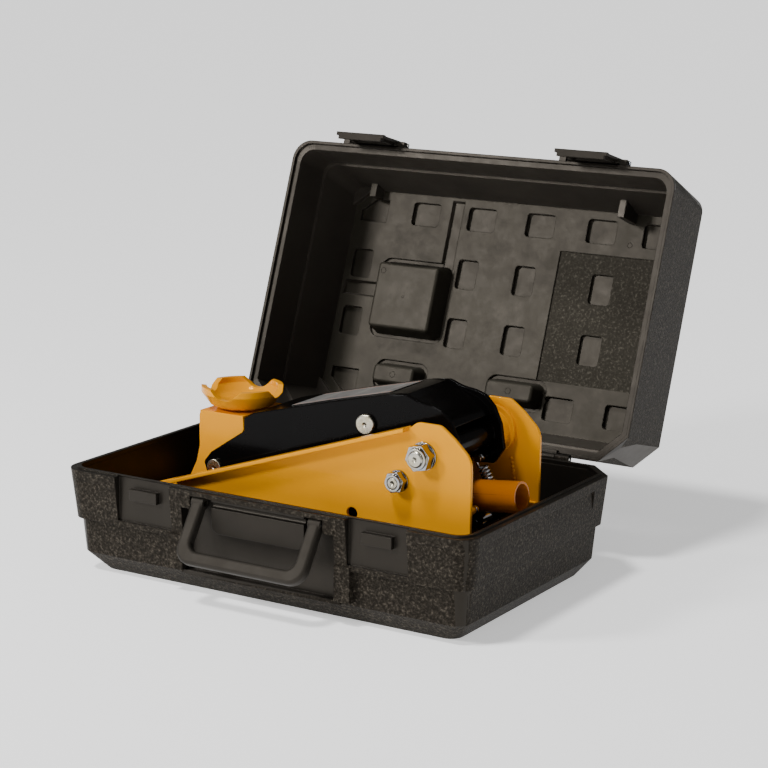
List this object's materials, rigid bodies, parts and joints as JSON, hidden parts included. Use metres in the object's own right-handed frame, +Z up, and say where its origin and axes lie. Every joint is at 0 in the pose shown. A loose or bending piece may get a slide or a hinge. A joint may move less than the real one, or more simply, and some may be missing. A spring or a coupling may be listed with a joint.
{
  "type": "trolley jack in carry case",
  "caption": "Compact hydraulic trolley jack with a lifting arm and saddle, standing in a moulded carry case whose hinged lid is open.",
  "frame": {"origin": "centre of the case's underside", "axes": "+X to the right along the case, +Y towards the lid hinges, +Z up"},
  "size_m": [0.48, 0.5631, 0.4224],
  "materials": {
    "case_plastic": "moulded grain",
    "yellow_paint": "gloss powder coat",
    "black_paint": "gloss enamel",
    "zinc_steel": "zinc plated",
    "hard_steel": "ground",
    "spring_steel": "zinc plated",
    "wheel_steel": "satin",
    "grip_rubber": "matt",
    "label_film": "satin film"
  },
  "bodies": {
    "case": {"case_base": "case_plastic", "hinge_pins": "zinc_steel", "handle_pins": "zinc_steel"},
    "lid": {"case_lid": "case_plastic", "latch_pins": "zinc_steel"},
    "latch_left": {"latch_left": "case_plastic"},
    "latch_right": {"latch_right": "case_plastic"},
    "carry_handle": {"carry_handle": "case_plastic"},
    "handle_lower": {"handle_lower_tube": "black_paint"},
    "handle_upper": {"handle_upper_tube": "black_paint", "handle_grip": "grip_rubber"},
    "chassis": {"side_plate_near": "yellow_paint", "side_plate_far": "yellow_paint", "pivot_rings": "yellow_paint", "main_shaft": "zinc_steel", "link_anchors": "zinc_steel", "main_nuts": "zinc_steel", "link_nuts": "zinc_steel", "front_axle": "zinc_steel", "front_cross_tube": "yellow_paint", "axle_clips": "zinc_steel", "rear_cross_plate": "black_paint", "kingpins": "zinc_steel", "power_unit_block": "black_paint", "block_bolts": "zinc_steel", "ram_cylinder": "black_paint", "gland_nut": "zinc_steel", "reservoir": "black_paint", "filler_plug": "zinc_steel", "pump_cylinder": "zinc_steel", "pump_spring": "spring_steel", "return_springs": "spring_steel", "socket_pin": "zinc_steel"},
    "front_wheel_near": {"front_wheel_near": "wheel_steel"},
    "front_wheel_far": {"front_wheel_far": "wheel_steel"},
    "caster_near": {"caster_fork_near": "black_paint", "caster_axle_near": "zinc_steel"},
    "caster_far": {"caster_fork_far": "black_paint", "caster_axle_far": "zinc_steel"},
    "caster_wheel_near": {"caster_wheel_near": "wheel_steel"},
    "caster_wheel_far": {"caster_wheel_far": "wheel_steel"},
    "lift_arm": {"lift_arm": "black_paint", "ram_pin": "zinc_steel", "ram_roller": "hard_steel", "spring_hanger": "zinc_steel", "front_pin": "zinc_steel", "arm_label": "label_film"},
    "saddle_bracket": {"saddle_bracket": "yellow_paint", "link_pin": "zinc_steel"},
    "saddle": {"saddle": "yellow_paint", "saddle_clip": "zinc_steel"},
    "link_near": {"link_near": "black_paint"},
    "link_far": {"link_far": "black_paint"},
    "ram": {"ram_rod": "hard_steel", "ram_head": "zinc_steel"},
    "handle_socket": {"handle_socket": "yellow_paint", "pump_roller": "hard_steel"},
    "pump_plunger": {"pump_plunger": "hard_steel"},
    "release_valve": {"release_valve": "zinc_steel"}
  },
  "joints": [
    {"name": "lid_hinge", "type": "hinge", "parent": "case", "child": "lid", "pos_m": [0, 0.1615, 0.109], "axis": [-1, 0, 0], "range_deg": [-110.14, 0]},
    {"name": "latch_left_hinge", "type": "hinge", "parent": "lid", "child": "latch_left", "pos_m": [-0.138, 0.28176, 0.40787], "axis": [-1, 0, 0], "range_deg": [-4, 86]},
    {"name": "latch_right_hinge", "type": "hinge", "parent": "lid", "child": "latch_right", "pos_m": [0.138, 0.28176, 0.40787], "axis": [-1, 0, 0], "range_deg": [-4, 86]},
    {"name": "carry_handle_hinge", "type": "hinge", "parent": "case", "child": "carry_handle", "pos_m": [0, -0.152, 0.097], "axis": [-1, 0, 0], "range_deg": [-28, 60]},
    {"name": "jack_lift_out", "type": "slide", "parent": "case", "child": "chassis", "axis": [0, 0, 1], "range_m": [0, 0.2]},
    {"name": "lower_tube_lift_out", "type": "slide", "parent": "case", "child": "handle_lower", "axis": [0, 0, 1], "range_m": [0, 0.2]},
    {"name": "upper_tube_lift_out", "type": "slide", "parent": "case", "child": "handle_upper", "axis": [0, 0, 1], "range_m": [0, 0.15]},
    {"name": "lift_arm_hinge", "type": "hinge", "parent": "chassis", "child": "lift_arm", "pos_m": [0.151, -0.02, 0.163], "axis": [0, 1, 0], "range_deg": [0, 48], "deforming": ["return_springs"]},
    {"name": "saddle_bracket_hinge", "type": "hinge", "parent": "lift_arm", "child": "saddle_bracket", "pos_m": [-0.113, -0.02, 0.108], "axis": [0, 1, 0], "range_deg": [-48, 0]},
    {"name": "link_near_hinge", "type": "hinge", "parent": "chassis", "child": "link_near", "pos_m": [0.1235, -0.0725, 0.1345], "axis": [0, 1, 0], "range_deg": [0, 48]},
    {"name": "link_far_hinge", "type": "hinge", "parent": "chassis", "child": "link_far", "pos_m": [0.1235, 0.0325, 0.1345], "axis": [0, 1, 0], "range_deg": [0, 48]},
    {"name": "saddle_swivel", "type": "hinge", "parent": "saddle_bracket", "child": "saddle", "pos_m": [-0.111, -0.02, 0.163], "axis": [0, 0, 1], "continuous": true},
    {"name": "ram_slide", "type": "slide", "parent": "chassis", "child": "ram", "axis": [0.5663, 0, 0.8242], "range_m": [0, 0.06751]},
    {"name": "handle_socket_hinge", "type": "hinge", "parent": "chassis", "child": "handle_socket", "pos_m": [0.158, -0.02, 0.098], "axis": [0, -1, 0], "range_deg": [0, 40]},
    {"name": "pump_plunger_slide", "type": "slide", "parent": "chassis", "child": "pump_plunger", "axis": [0, 0, 1], "range_m": [0, 0.0155], "deforming": ["pump_spring"]},
    {"name": "release_valve_turn", "type": "hinge", "parent": "chassis", "child": "release_valve", "pos_m": [0.19, -0.032, 0.064], "axis": [1, 0, 0], "range_deg": [0, 180]},
    {"name": "front_wheel_near_spin", "type": "hinge", "parent": "chassis", "child": "front_wheel_near", "pos_m": [-0.172, -0.1035, 0.0653], "axis": [0, 1, 0], "continuous": true},
    {"name": "front_wheel_far_spin", "type": "hinge", "parent": "chassis", "child": "front_wheel_far", "pos_m": [-0.172, 0.0635, 0.0653], "axis": [0, 1, 0], "continuous": true},
    {"name": "caster_near_swivel", "type": "hinge", "parent": "chassis", "child": "caster_near", "pos_m": [0.178, -0.07, 0.088], "axis": [0, 0, 1], "continuous": true},
    {"name": "caster_wheel_near_spin", "type": "hinge", "parent": "caster_near", "child": "caster_wheel_near", "pos_m": [0.168, -0.07, 0.0593], "axis": [0, 1, 0], "continuous": true},
    {"name": "caster_far_swivel", "type": "hinge", "parent": "chassis", "child": "caster_far", "pos_m": [0.178, 0.03, 0.088], "axis": [0, 0, 1], "continuous": true},
    {"name": "caster_wheel_far_spin", "type": "hinge", "parent": "caster_far", "child": "caster_wheel_far", "pos_m": [0.168, 0.03, 0.0593], "axis": [0, 1, 0], "continuous": true}
  ],
  "couplings": [
    {"joint": "saddle_bracket_hinge", "follows": "lift_arm_hinge", "ratio": -1},
    {"joint": "link_near_hinge", "follows": "lift_arm_hinge", "ratio": 1},
    {"joint": "link_far_hinge", "follows": "lift_arm_hinge", "ratio": 1},
    {"joint": "ram_slide", "follows": "lift_arm_hinge", "m_per_rad": 0.079989},
    {"joint": "pump_plunger_slide", "follows": "handle_socket_hinge", "m_per_rad": 0.02156}
  ]
}
